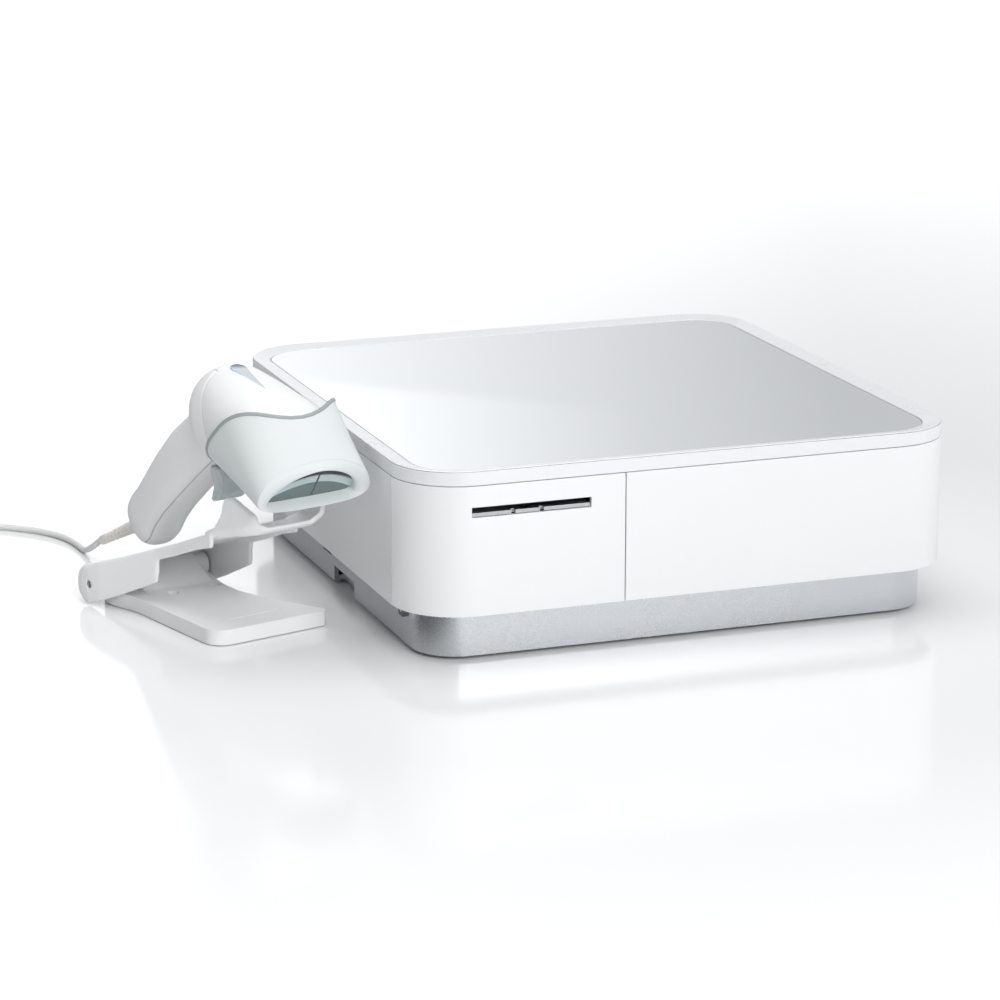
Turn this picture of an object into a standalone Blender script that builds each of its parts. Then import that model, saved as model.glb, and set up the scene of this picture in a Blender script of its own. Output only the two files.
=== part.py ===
"""Counter-top checkout base: receipt printer and cash drawer in one low box,
with a tethered gun-shaped barcode scanner resting in a small folding stand.

World frame: +X right, +Y back, +Z up, origin at the middle of the box's flat
top.  The drawer opens toward -Y.  Everything is drawn in millimetres above
the counter, under one empty that stands DECK_Z below the origin.
"""
import math

import bmesh
import bpy
from mathutils import Matrix, Vector

MM = 0.001
GAP = 0.3            # clearance between pieces that touch

for old in list(bpy.data.objects):
    bpy.data.objects.remove(old, do_unlink=True)

# --- driving dimensions ---------------------------------------------------
UNIT_W, UNIT_D = 300.0, 308.0
HALF_W, HALF_D = UNIT_W / 2, UNIT_D / 2
CORNER_R = 34.0
WALL = 2.2
PLINTH_INSET = 10.0
FOOT_H = 2.0
PANEL_Z0, PANEL_Z1 = 25.4, 92.0
FRONT_SEAM_X = -37.6          # between printer cover and drawer front
SIDE_SEAM_Y = -120.4          # where the front pieces wrap round the sides
RIM_WIDTH = 10.0
DECK_Z = 98.0
CHASSIS_Z = 27.4              # top of the steel chassis plate

COVER_PIVOT = (-122.0, 24.0)  # y, z of the printer cover hinge
PLATEN_AXIS = (-138.0, 69.0)  # y, z
GEAR_MODULE = 0.8
PLATEN_TEETH, IDLER_TEETH, PINION_TEETH = 16, 20, 12
GEAR_X0, GEAR_X1 = -127.5, -124.5
ROLL_AXIS = (-89.0, 54.0)
ROLL_R = 24.0

STAND_ORIGIN = (-210.0, -38.0)
STAND_TURN = math.radians(16.0)
ARM_PIVOT = (68.0, 11.5)      # y, z in the stand's own frame

# --- collections, materials and small builders ------------------------------
PARTS = bpy.data.collections.new("checkout_base")
CUTTERS = bpy.data.collections.new("cutters")
bpy.context.scene.collection.children.link(PARTS)
bpy.context.scene.collection.children.link(CUTTERS)
MATERIALS = {}
COUNTER = bpy.data.objects.new("counter_frame", None)
COUNTER.location = (0, 0, -DECK_Z * MM)
PARTS.objects.link(COUNTER)


def material(name, rgb, rough, metal=0.0):
    mat = bpy.data.materials.new(name)
    mat.use_nodes = True
    bsdf = mat.node_tree.nodes["Principled BSDF"]
    bsdf.inputs["Base Color"].default_value = (*rgb, 1.0)
    bsdf.inputs["Roughness"].default_value = rough
    bsdf.inputs["Metallic"].default_value = metal
    mat.diffuse_color = (*rgb, 1.0)
    MATERIALS[name] = mat


material("white_plastic", (0.86, 0.87, 0.88), 0.35)
material("gloss_white", (0.90, 0.91, 0.92), 0.12)
material("silver_paint", (0.52, 0.53, 0.55), 0.35, 0.6)
material("grey_rubber", (0.62, 0.65, 0.66), 0.6)
material("black_rubber", (0.03, 0.03, 0.03), 0.8)
material("steel", (0.60, 0.61, 0.62), 0.3, 1.0)
material("black_plastic", (0.04, 0.04, 0.045), 0.45)
material("grey_plastic", (0.30, 0.31, 0.33), 0.5)
material("nylon", (0.82, 0.80, 0.74), 0.5)
material("circuit_board", (0.03, 0.20, 0.10), 0.5)
material("paper", (0.92, 0.92, 0.90), 0.9)
material("dark_glass", (0.05, 0.09, 0.09), 0.08)
material("blue_grey_lens", (0.55, 0.62, 0.68), 0.2)


def add_mesh(name, bm, mat, scale=MM, frame=None, cutter=False):
    """Turn a bmesh drawn in millimetres into an object in metres."""
    bmesh.ops.recalc_face_normals(bm, faces=bm.faces)
    bmesh.ops.scale(bm, vec=(scale, scale, scale), verts=bm.verts)
    mesh = bpy.data.meshes.new(name)
    bm.to_mesh(mesh)
    bm.free()
    obj = bpy.data.objects.new(name, mesh)
    obj.data.materials.append(MATERIALS[mat])
    (CUTTERS if cutter else PARTS).objects.link(obj)
    if cutter:
        obj.hide_render = True
        obj.display_type = "WIRE"
    obj.parent = frame or COUNTER
    return obj


def box_mesh(x, y, z, radius=0.0, segments=6, round_edges=None):
    """A box from min/max pairs; vertical edges rounded by radius."""
    bm = bmesh.new()
    bmesh.ops.create_cube(bm, size=1.0)
    size = (x[1] - x[0], y[1] - y[0], z[1] - z[0])
    middle = ((x[0] + x[1]) / 2, (y[0] + y[1]) / 2, (z[0] + z[1]) / 2)
    bmesh.ops.scale(bm, vec=size, verts=bm.verts)
    bmesh.ops.translate(bm, vec=middle, verts=bm.verts)
    if radius > 0:
        edges = []
        for edge in bm.edges:
            a, b = edge.verts[0].co, edge.verts[1].co
            upright = abs(a.z - b.z) > 1e-6
            if upright and (round_edges is None or round_edges(a.x, a.y)):
                edges.append(edge)
        bmesh.ops.bevel(bm, geom=edges, offset=radius, segments=segments,
                        profile=0.5, affect="EDGES")
    return bm


def box(name, x, y, z, mat, radius=0.0, segments=6, frame=None, cutter=False,
        round_edges=None):
    bm = box_mesh(x, y, z, radius, segments, round_edges)
    return add_mesh(name, bm, mat, frame=frame, cutter=cutter)


def turn_to(axis):
    """Rotation that takes the Z axis onto the named axis."""
    if axis == "x":
        return Matrix.Rotation(math.pi / 2, 4, "Y")
    if axis == "y":
        return Matrix.Rotation(-math.pi / 2, 4, "X")
    return Matrix.Identity(4)


def cylinder_mesh(axis, centre, r0, length, segments=24, r1=None):
    bm = bmesh.new()
    bmesh.ops.create_cone(bm, cap_ends=True, segments=segments, radius1=r0,
                          radius2=r0 if r1 is None else r1, depth=length)
    for face in bm.faces:
        face.smooth = len(face.verts) == 4
    bmesh.ops.transform(bm, matrix=Matrix.Translation(centre) @ turn_to(axis),
                        verts=bm.verts)
    return bm


def cylinder(name, axis, centre, radius, length, mat, segments=24, frame=None,
             cutter=False, r1=None):
    bm = cylinder_mesh(axis, centre, radius, length, segments, r1)
    return add_mesh(name, bm, mat, frame=frame, cutter=cutter)


def plate(name, outline, axis, span, mat, frame=None, cutter=False):
    """A flat outline of (a, b) points pushed along an axis over span."""
    bm = bmesh.new()
    verts = []
    for a, b in outline:
        point = {"x": (span[0], a, b), "z": (a, b, span[0])}[axis]
        verts.append(bm.verts.new(point))
    face = bm.faces.new(verts)
    step = span[1] - span[0]
    vector = (step, 0, 0) if axis == "x" else (0, 0, step)
    moved = bmesh.ops.extrude_face_region(bm, geom=[face])["geom"]
    tops = [item for item in moved if isinstance(item, bmesh.types.BMVert)]
    bmesh.ops.translate(bm, vec=vector, verts=tops)
    return add_mesh(name, bm, mat, frame=frame, cutter=cutter)


def loft_mesh(rings, closed_loop=False):
    """Skin a list of point rings; caps on both ends unless it is a loop."""
    bm = bmesh.new()
    made = [[bm.verts.new(point) for point in ring] for ring in rings]
    pairs = list(zip(made, made[1:]))
    if closed_loop:
        pairs.append((made[-1], made[0]))
    count = len(rings[0])
    for lower, upper in pairs:
        for i in range(count):
            j = (i + 1) % count
            bm.faces.new((lower[i], lower[j], upper[j], upper[i]))
    if not closed_loop:
        bm.faces.new(list(reversed(made[0])))
        bm.faces.new(made[-1])
    return bm


def loft(name, rings, mat, closed_loop=False, frame=None, cutter=False):
    bm = loft_mesh(rings, closed_loop)
    return add_mesh(name, bm, mat, frame=frame, cutter=cutter)


def combine(target, operation, tool):
    modifier = target.modifiers.new(operation.lower(), "BOOLEAN")
    modifier.operation = operation
    modifier.solver = "EXACT"
    modifier.object = tool


def cut(target, tool):
    combine(target, "DIFFERENCE", tool)


def join(target, tool):
    combine(target, "UNION", tool)


def cut_box(target, x, y, z, radius=0.0, frame=None):
    tool = box("cut_" + target.name, x, y, z, "steel", radius, 4, frame, True)
    cut(target, tool)


def join_box(target, x, y, z, radius=0.0, frame=None):
    tool = box("add_" + target.name, x, y, z, "steel", radius, 4, frame, True)
    join(target, tool)


def cut_round(target, axis, centre, radius, length, segments=16, frame=None):
    tool = cylinder("cut_" + target.name, axis, centre, radius, length,
                    "steel", segments, frame, True)
    cut(target, tool)


def join_round(target, axis, centre, radius, length, segments=16, frame=None):
    tool = cylinder("add_" + target.name, axis, centre, radius, length,
                    "steel", segments, frame, True)
    join(target, tool)


def rounded_rect(inset, z, segments=8):
    """One ring round the unit's outline, drawn in by inset."""
    radius = CORNER_R - inset
    cx, cy = HALF_W - CORNER_R, HALF_D - CORNER_R
    ring = []
    for quarter, (sx, sy) in enumerate(((1, 1), (-1, 1), (-1, -1), (1, -1))):
        for step in range(segments + 1):
            angle = math.pi / 2 * (quarter + step / segments)
            ring.append((sx * cx + radius * math.cos(angle),
                         sy * cy + radius * math.sin(angle), z))
    return ring


def tube_curve(name, points, radius, mat, frame=None, resolution=3,
               order="BEZIER"):
    """A round cable or wire through the given points (mm)."""
    curve = bpy.data.curves.new(name, "CURVE")
    curve.dimensions = "3D"
    curve.bevel_depth = radius * MM
    curve.bevel_resolution = 1
    curve.resolution_u = resolution
    curve.use_fill_caps = True
    spline = curve.splines.new(order)
    if order == "BEZIER":
        spline.bezier_points.add(len(points) - 1)
        for knot, point in zip(spline.bezier_points, points):
            knot.co = Vector(point) * MM
            knot.handle_left_type = "AUTO"
            knot.handle_right_type = "AUTO"
    else:
        spline.points.add(len(points) - 1)
        for knot, point in zip(spline.points, points):
            knot.co = (*(Vector(point) * MM), 1.0)
    obj = bpy.data.objects.new(name, curve)
    obj.data.materials.append(MATERIALS[mat])
    PARTS.objects.link(obj)
    obj.parent = frame or COUNTER
    return obj


# --- base unit: plinth, feet, shell, rim and deck ---------------------------
def build_plinth():
    px, py = HALF_W - PLINTH_INSET, HALF_D - PLINTH_INSET
    plinth = box("plinth", (-px, px), (-py, py), (FOOT_H, PANEL_Z0 - GAP),
                 "silver_paint", CORNER_R - PLINTH_INSET, 8)
    inner = 2.5
    cut_box(plinth, (-px + inner, px - inner), (-py + inner, py - inner),
            (FOOT_H + 3.0, PANEL_Z0 + 5), CORNER_R - PLINTH_INSET - inner)
    # left side: a small lock hole and a cable notch open at the bottom
    cut_box(plinth, (-px - 2, -px + 4), (13, 27), (15, 18))
    cut_box(plinth, (-px - 2, -px + 6), (-27, 8), (0, 10.5))
    return plinth


def build_feet():
    for side, x in (("left", -115.0), ("right", 115.0)):
        for end, y in (("front", -118.0), ("rear", 118.0)):
            cylinder(f"foot_{side}_{end}", "z", (x, y, 0.85), 11.0, 1.7,
                     "black_rubber", 24)


def build_chassis_plate():
    top, edge = CHASSIS_Z, HALF_W - WALL - GAP
    def rear(_x, y):
        return y > 0
    box("chassis_plate", (-edge, edge), (-112, HALF_D - WALL - GAP),
        (PANEL_Z0, top), "steel", CORNER_R - WALL - GAP, 6, round_edges=rear)


def panel_ring(name, mat="white_plastic"):
    rings = [rounded_rect(0, PANEL_Z0), rounded_rect(0, PANEL_Z1),
             rounded_rect(WALL, PANEL_Z1), rounded_rect(WALL, PANEL_Z0)]
    return loft(name, rings, mat, closed_loop=True)


REAR_PORTS = {                # x range and z range of each rear opening
    "dc_jack": ((-112, -99), (36, 48)),
    "usb_a_port": ((-94, -79), (36, 52)),
    "usb_b_port": ((-74, -61), (36, 48)),
}
REAR_BUTTONS = {              # x and radius
    "power_button": (-52.5, 4.5),
    "pairing_button": (-44.5, 2.0),
}
REAR_BUTTON_Z = 44.0


def build_body_shell():
    shell = panel_ring("body_shell")
    cut_box(shell, (-200, 200), (-200, SIDE_SEAM_Y + GAP), (0, 150))
    for x, z in REAR_PORTS.values():
        cut_box(shell, (x[0] - GAP, x[1] + GAP), (148, 160),
                (z[0] - GAP, z[1] + GAP))
    for x, radius in REAR_BUTTONS.values():
        cut_round(shell, "y", (x, 152, REAR_BUTTON_Z), radius + GAP, 12)


def build_rim():
    profile = [(0, PANEL_Z1 + GAP), (0, 99.0), (0.4, 99.7), (1.2, 99.9),
               (RIM_WIDTH, DECK_Z + 0.2), (RIM_WIDTH, 95.1), (17, 95.1),
               (17, PANEL_Z1 + GAP)]
    rings = [rounded_rect(inset, z) for inset, z in profile]
    loft("top_rim", rings, "white_plastic", closed_loop=True)


def build_deck():
    inset = RIM_WIDTH + GAP
    rings = [rounded_rect(inset, 95.4), rounded_rect(inset, DECK_Z - 0.3),
             rounded_rect(inset + 0.4, DECK_Z)]
    loft("deck_plate", rings, "gloss_white")


def build_partition():
    box("partition", (-40.5, -39.0), (-110, HALF_D - WALL - GAP),
        (CHASSIS_Z + GAP, PANEL_Z1 - GAP), "steel")


# --- printer ----------------------------------------------------------------
HINGE_ARM_X = ((-146.0, -142.5), (-47.0, -43.5))
HINGE_EAR_X = ((-138.8, -135.6), (-50.8, -47.3))    # left one is in the wall


def build_printer_cover():
    cover = panel_ring("printer_cover")
    cut_box(cover, (FRONT_SEAM_X - GAP, 200), (-200, 200), (0, 150))
    cut_box(cover, (-200, 200), (SIDE_SEAM_Y - GAP, 200), (0, 150))
    cut_box(cover, (-119, -56), (-160, -148), (76, 81.3))
    # hinge arms bend over the plinth wall down to the pivot
    py, pz = COVER_PIVOT
    arm = [(-152.6, 50), (-127, 50), (py - 4, 24), (py - 3, pz - 4),
           (py + 3, pz - 4), (py + 4, pz), (py + 2, 56), (-152.6, 58)]
    for x0, x1 in HINGE_ARM_X:
        front = 0 if x0 > -100 else 22
        shape = [(max(y, -153 + front), z) for y, z in arm]
        join(cover, plate("add_arm", shape, "x", (x0, x1), "steel",
                          cutter=True))
        cut_round(cover, "x", ((x0 + x1) / 2, py, pz), 2.0 + GAP, 8)


def build_cover_hinge(plinth):
    """Ears that rise from the plinth floor, and the two short pins."""
    py, pz = COVER_PIVOT
    for side, (x0, x1), ear in zip(("left", "right"), HINGE_ARM_X,
                                   HINGE_EAR_X):
        join_box(plinth, ear, (py - 4, py + 9), (FOOT_H + 1, pz + 5))
        cut_round(plinth, "x", ((ear[0] + ear[1]) / 2, py, pz), 2.05, 6.4)
        start, end = min(x0, ear[0]), max(x1, ear[1])
        cylinder(f"hinge_pin_{side}", "x", ((start + end) / 2, py, pz), 2.0,
                 end - start, "steel", 16)


def gear_mesh(teeth, x, centre, hole, phase):
    """Spur gear across the X axis, thin straight-sided teeth."""
    pitch_r = GEAR_MODULE * teeth / 2
    root, tip = pitch_r - 1.15 * GEAR_MODULE, pitch_r + 0.85 * GEAR_MODULE
    step = 2 * math.pi / teeth
    outline = []
    for k in range(teeth):
        base = phase + k * step
        for radius, offset in ((root, -0.27), (tip, -0.10), (tip, 0.10),
                               (root, 0.27)):
            outline.append((radius, base + offset * step))
    rings = []
    for at in x:
        rings.append([(at, centre[0] + r * math.cos(a),
                       centre[1] + r * math.sin(a)) for r, a in outline])
    for at in reversed(x):
        rings.append([(at, centre[0] + hole * math.cos(a),
                       centre[1] + hole * math.sin(a)) for _r, a in outline])
    return loft_mesh(rings, closed_loop=True)


MESH_SLACK = 0.15
TRAIN_DIR = (0.944, 0.330)      # from the platen back to the idler (y, z)
MOTOR_DIR = (0.6, -0.8)         # from the idler down to the motor


def train_centre(start, direction, teeth_a, teeth_b):
    reach = GEAR_MODULE * (teeth_a + teeth_b) / 2 + MESH_SLACK
    return (start[0] + reach * direction[0], start[1] + reach * direction[1])


IDLER_AXIS = train_centre(PLATEN_AXIS, TRAIN_DIR, PLATEN_TEETH, IDLER_TEETH)
MOTOR_AXIS = train_centre(IDLER_AXIS, MOTOR_DIR, IDLER_TEETH, PINION_TEETH)


def build_gears():
    to_idler = math.atan2(TRAIN_DIR[1], TRAIN_DIR[0])
    to_motor = math.atan2(MOTOR_DIR[1], MOTOR_DIR[0])
    span = (GEAR_X0, GEAR_X1)
    platen = gear_mesh(PLATEN_TEETH, span, PLATEN_AXIS, 2.05, to_idler)
    add_mesh("platen_gear", platen, "nylon")
    # the idler shows a gap toward the platen
    idler_phase = to_idler + math.pi + math.pi / IDLER_TEETH
    idler = gear_mesh(IDLER_TEETH, span, IDLER_AXIS, 2.3, idler_phase)
    add_mesh("idler_gear", idler, "nylon")
    # how far past a tooth the idler stands where it faces the motor
    pitch = 2 * math.pi / IDLER_TEETH
    past = ((to_motor - idler_phase) / pitch) % 1.0
    pinion_phase = to_motor + math.pi + (past + 0.5) * 2 * math.pi / PINION_TEETH
    pinion = gear_mesh(PINION_TEETH, span, MOTOR_AXIS, 1.55, pinion_phase)
    add_mesh("motor_pinion", pinion, "nylon")
    cylinder("idler_pin", "x", (-125.9, *IDLER_AXIS), 2.0, 4.4, "steel", 16)


def build_platen():
    y, z = PLATEN_AXIS
    roller = cylinder("platen_roller", "x", (-87.5, y, z), 6.0, 63.0,
                      "black_rubber", 24)
    join_round(roller, "x", (-90.75, y, z), 2.0, 74.5, 16)
    holder = box("platen_holder", (-122.8, -52.2), (-150.7, -148.9),
                 (52, 74), "grey_plastic")
    for x0, x1 in ((-122.8, -120.0), (-55.0, -52.2)):
        join_box(holder, (x0, x1), (-149.8, -133.5), (62, 75))
        cut_round(holder, "x", ((x0 + x1) / 2, y, z), 2.3, 8)
    bar = box("tear_bar", (-118.7, -56.3), (-152.9, -145.0), (76.3, 78.2),
              "steel")
    for x in (-97.0, -82.0):
        cut_box(bar, (x - 1, x + 1), (-154, -150.5), (70, 90))


def build_print_head():
    box("print_head", (-118, -57), (-131.6, -128.0), (58, 76), "nylon")
    sink = box("head_heatsink", (-118, -57), (-127.7, -125.2), (56, 78),
               "steel")
    for k in range(5):
        x = -112 + 12 * k
        join_box(sink, (x, x + 1.6), (-125.6, -119.5), (58, 76))


def build_printer_frame():
    frame = box("printer_frame", (-123.4, -51.6), (-131, -58),
                (CHASSIS_Z + GAP, 80), "grey_plastic")
    cut_box(frame, (-121.6, -53.4), (-140, -60), (29.2, 90))
    cut_box(frame, (-130, -45), (-140, -112), (20, 54))
    # outrigger that carries the feed motor beyond the gears
    y, z = MOTOR_AXIS
    join_box(frame, (-129.4, -128.2), (y - 11, y + 17), (z - 12, z + 10))
    join_box(frame, (-129.4, -123.0), (y + 15.5, y + 17), (z - 12, z + 10))
    cut_round(frame, "x", (-128.8, y, z), 3.0, 3)


def build_feed_motor():
    y, z = MOTOR_AXIS
    motor = cylinder("feed_motor", "x", (-135.4, y, z), 9.5, 11.0, "steel", 24)
    join_round(motor, "x", (-128.0, y, z), 1.5, 8.0, 12)


def build_paper():
    y, z = ROLL_AXIS
    roll = cylinder("paper_roll", "x", (-87.5, y, z), ROLL_R, 57.5, "paper", 32)
    cut_round(roll, "x", (-87.5, y, z), 6.5, 70, 20)
    core = cylinder("paper_core", "x", (-87.5, y, z), 6.2, 59.0, "grey_plastic",
                    20)
    cut_round(core, "x", (-87.5, y, z), 5.0, 70, 20)


# --- electronics and rear panel ---------------------------------------------
def build_electronics():
    board = box("main_board", (-140, -48), (-44, 138), (34, 35.6),
                "circuit_board")
    for x in (-134, -54):
        for y in (-38, 128):
            join_round(board, "z", (x, y, (CHASSIS_Z + GAP + 34.5) / 2), 2.5,
                       34.5 - CHASSIS_Z - GAP, 12)
    join_box(board, (-116, -98), (10, 28), (35, 38))
    join_box(board, (-80, -70), (60, 72), (35, 39))
    join_box(board, (-126, -120), (70, 96), (35, 46))
    join_box(board, (-92, -74), (-20, 6), (35, 39))
    join_box(board, (-59, -49), (128, 137), (35, 52))
    for name, (x, z) in REAR_PORTS.items():
        port = box(name, x, (139, HALF_D - 0.3), z, "black_plastic")
        inside = 1.6
        cut_box(port, (x[0] + inside, x[1] - inside), (144, 160),
                (z[0] + inside, z[1] - inside))
    for name, (x, radius) in REAR_BUTTONS.items():
        cylinder(name, "y", (x, 150.75, REAR_BUTTON_Z), radius, 8.5,
                 "grey_plastic", 20)


# --- drawer -----------------------------------------------------------------
BOX_X = (-35.0, 145.0)
BOX_Y = (-151.5, 100.0)
BOX_Z = (30.8, 78.0)
SHEET = 1.6


def build_drawer():
    front = panel_ring("drawer_front")
    cut_box(front, (-200, FRONT_SEAM_X + GAP), (-200, 200), (0, 150))
    cut_box(front, (-200, 200), (SIDE_SEAM_Y - GAP, 200), (0, 150))

    def front_right(x, y):
        return x > 0 and y < 0
    tray = box("drawer_box", BOX_X, BOX_Y, BOX_Z, "grey_plastic",
               CORNER_R - 2.5, 8, round_edges=front_right)
    pocket = box("cut_drawer_box", (BOX_X[0] + SHEET, BOX_X[1] - SHEET),
                 (BOX_Y[0] + SHEET, BOX_Y[1] - SHEET), (BOX_Z[0] + SHEET, 90),
                 "steel", CORNER_R - 2.5 - SHEET, 8, None, True, front_right)
    cut(tray, pocket)
    # striker for the latch on the rear wall
    join_box(tray, (52, 58), (99, 108), (44, 50))
    cut_box(tray, (51, 54.5), (101.8, 105.2), (43, 51))

    for name, x in (("drawer_rail_left", (-34, -26)),
                    ("drawer_rail_right", (134, 142))):
        box(name, x, (-110, 120), (CHASSIS_Z + GAP, BOX_Z[0] - GAP), "nylon")


CUP_ROWS, CUP_COLUMNS = 2, 4


def build_coin_tray():
    x0, x1 = BOX_X[0] + SHEET + 0.5, BOX_X[1] - SHEET - 0.5
    y0, y1 = -115.0, -31.0
    z0, z1 = BOX_Z[0] + SHEET + GAP, 71.0
    tray = box("coin_tray", (x0, x1), (y0, y1), (z0, z1), "grey_plastic", 3.0,
               3)
    rib = 2.4
    cup_w = (x1 - x0 - rib * (CUP_COLUMNS + 1)) / CUP_COLUMNS
    cup_d = (y1 - y0 - rib * (CUP_ROWS + 1)) / CUP_ROWS
    for column in range(CUP_COLUMNS):
        for row in range(CUP_ROWS):
            left = x0 + rib + column * (cup_w + rib)
            near = y0 + rib + row * (cup_d + rib)
            cut_box(tray, (left, left + cup_w), (near, near + cup_d),
                    (z0 + 2.2, z1 + 5), 5.0)


def build_bill_dividers():
    for k, y in enumerate((18.0, 58.0), start=1):
        x0, x1 = BOX_X[0] + SHEET + 0.6, BOX_X[1] - SHEET - 0.6
        divider = box(f"bill_divider_{k}", (x0, x1), (y, y + 1.6),
                      (BOX_Z[0] + SHEET + GAP, 73), "grey_plastic")
        cut_box(divider, (35, 75), (y - 5, y + 5), (60, 80))


LATCH_PIVOT = (48.2, 118.0)     # x, y
PLUNGER_AXIS = (130.0, 49.0)    # y, z


def build_latch():
    """Hook that a solenoid swings clear of the drawer's striker."""
    y, z = PLUNGER_AXIS
    solenoid = box("latch_solenoid", (66, 96), (y - 12, y + 12), (38, 60),
                   "steel")
    floor = CHASSIS_Z + GAP
    join_box(solenoid, (68, 94), (y - 8, y + 8), (floor + 1.0, 38.6))
    join_box(solenoid, (62, 100), (y - 12, y + 12), (floor, floor + 1.6))
    cut_round(solenoid, "x", (73, y, z), 3.4, 16)
    cylinder("solenoid_plunger", "x", (65.2, y, z), 3.0, 21.6, "steel", 16)
    outline = [(46, 133), (53.8, 133), (53.8, 127), (51.2, 122), (50.6, 114),
               (49.6, 106), (51.2, 104.7), (51.2, 102.6), (46.2, 102.4),
               (45.2, 112), (44.8, 122)]
    hook = plate("latch_hook", outline, "z", (45, 49), "steel")
    px, py = LATCH_PIVOT
    cut_round(hook, "z", (px, py, 47), 2.05, 10)
    pin = cylinder("latch_pin", "z", (px, py, (CHASSIS_Z + 52) / 2), 2.0,
                   52 - CHASSIS_Z - 2 * GAP, "steel", 16)
    join_round(pin, "z", (px, py, 36.2), 3.4, 17.0)


def build_ejector():
    """Spring behind the drawer that pushes it open when the latch lets go."""
    turns, steps, wire_r, coil_r = 5, 10, 0.9, 5.0
    start, length, height = 101.6, 47.0, 52.0
    points = []
    for k in range(turns * steps + 1):
        angle = 2 * math.pi * k / steps
        points.append((10 + coil_r * math.cos(angle),
                       start + length * k / (turns * steps),
                       height + coil_r * math.sin(angle)))
    tube_curve("ejector_spring", points, wire_r, "steel", order="POLY")


# --- scanner stand ----------------------------------------------------------
def stand_empty():
    empty = bpy.data.objects.new("stand_frame", None)
    empty.location = (STAND_ORIGIN[0] * MM, STAND_ORIGIN[1] * MM, 0)
    empty.rotation_euler = (0, 0, STAND_TURN)
    empty.parent = COUNTER
    PARTS.objects.link(empty)
    return empty


def arc(cx, cy, radius, start, end, steps):
    points = []
    for k in range(steps + 1):
        angle = math.radians(start + (end - start) * k / steps)
        points.append((cx + radius * math.cos(angle),
                       cy + radius * math.sin(angle)))
    return points


BASE_TOP = 8.4


def base_outline(grow=0.0):
    """Plan of the stand's foot: wide front, waist at right, flared left."""
    g = grow
    outline = arc(-23, -27, 10 + g, 180, 270, 4)
    outline += arc(31.5, -33, 4 + g, 270, 360, 3)
    outline += [(20.5 + g, 4), (17.0 + g, 20), (17.0 + g, 34), (19 + g, 46),
                (22 + g, 56), (24 + g, 66)]
    outline += [(24 + g, 76 + g), (-32 - g, 76 + g)]
    outline += [(-37.5 - g, 66), (-36.5 - g, 56), (-34 - g, 47),
                (-33 - g, 38)]
    return outline


BARREL_R = 8.0


def build_stand(frame):
    base = plate("stand_base", base_outline(), "z", (0.5, BASE_TOP),
                 "white_plastic", frame)
    cut(base, plate("cut_pad", base_outline(-3.0), "z", (-2, 2.2), "steel",
                    frame, True))
    # hump that carries the hinge barrel between the arm's side walls
    py, pz = ARM_PIVOT
    hump = [(py + BARREL_R, 3.0)]
    hump += [(py + BARREL_R * math.cos(math.radians(a)),
              pz + BARREL_R * math.sin(math.radians(a)))
             for a in range(0, 141, 20)]
    hump += [(py - 14, 13.4), (py - 20, 10.0), (py - 25, 7.9), (py - 26, 3.0)]
    join(base, plate("add_hump", hump, "x", (-25.0, 15.5), "steel", frame,
                     True))
    join_round(base, "x", (19.5, py, pz), 6.0, 10.0, 20, frame)
    join_box(base, (14.0, 24.0), (py - 5, py + 5), (4.0, pz), frame=frame)
    for x in (-12.7, 12.7):
        cut_round(base, "z", (x, 37.5, 9.0), 3.4, 7.0, 16, frame)
        cut_round(base, "z", (x, 37.5, 5.0), 1.7, 20.0, 12, frame)
    cut_box(base, (-15, 17), (-21.6, -20.8), (7.9, 12), frame=frame)
    cut_round(base, "x", (0, py, pz), 2.5 + GAP, 200, 16, frame)
    pad = plate("stand_pad", base_outline(-3.4), "z", (0.0, 1.9),
                "black_rubber", frame)
    for x in (-12.7, 12.7):
        cut_round(pad, "z", (x, 37.5, 1.0), 3.0, 6.0, 12, frame)
    cylinder("stand_pin", "x", (-9.0, py, pz), 2.5, 74.0, "steel", 16, frame)


def channel(y, top, bottom, left, right=28.6, skin=2.6):
    """Section of the arm: flat top with two side walls, open below."""
    roof = top - skin
    low = min(bottom, roof - 0.8)
    return [(-left, y, low), (-left, y, top - 1.5), (-left + 1.5, y, top),
            (right - 1.5, y, top), (right, y, top - 1.5), (right, y, low),
            (right - skin, y, low), (right - skin, y, roof),
            (-left + skin, y, roof), (-left + skin, y, low)]


def cup(y, floor, wing, half, skin=2.4):
    """Section of the cradle: a trough with raised side wings."""
    return [(-half, y, floor + 4), (-half - 1.0, y, wing), (-half + skin, y, wing),
            (-half + skin + 1, y, floor + skin + 3),
            (-half + 9, y, floor + skin), (half - 9, y, floor + skin),
            (half - skin - 1, y, floor + skin + 3), (half - skin, y, wing),
            (half + 1.0, y, wing), (half, y, floor + 4),
            (half - 7, y, floor), (-half + 7, y, floor)]


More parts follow.
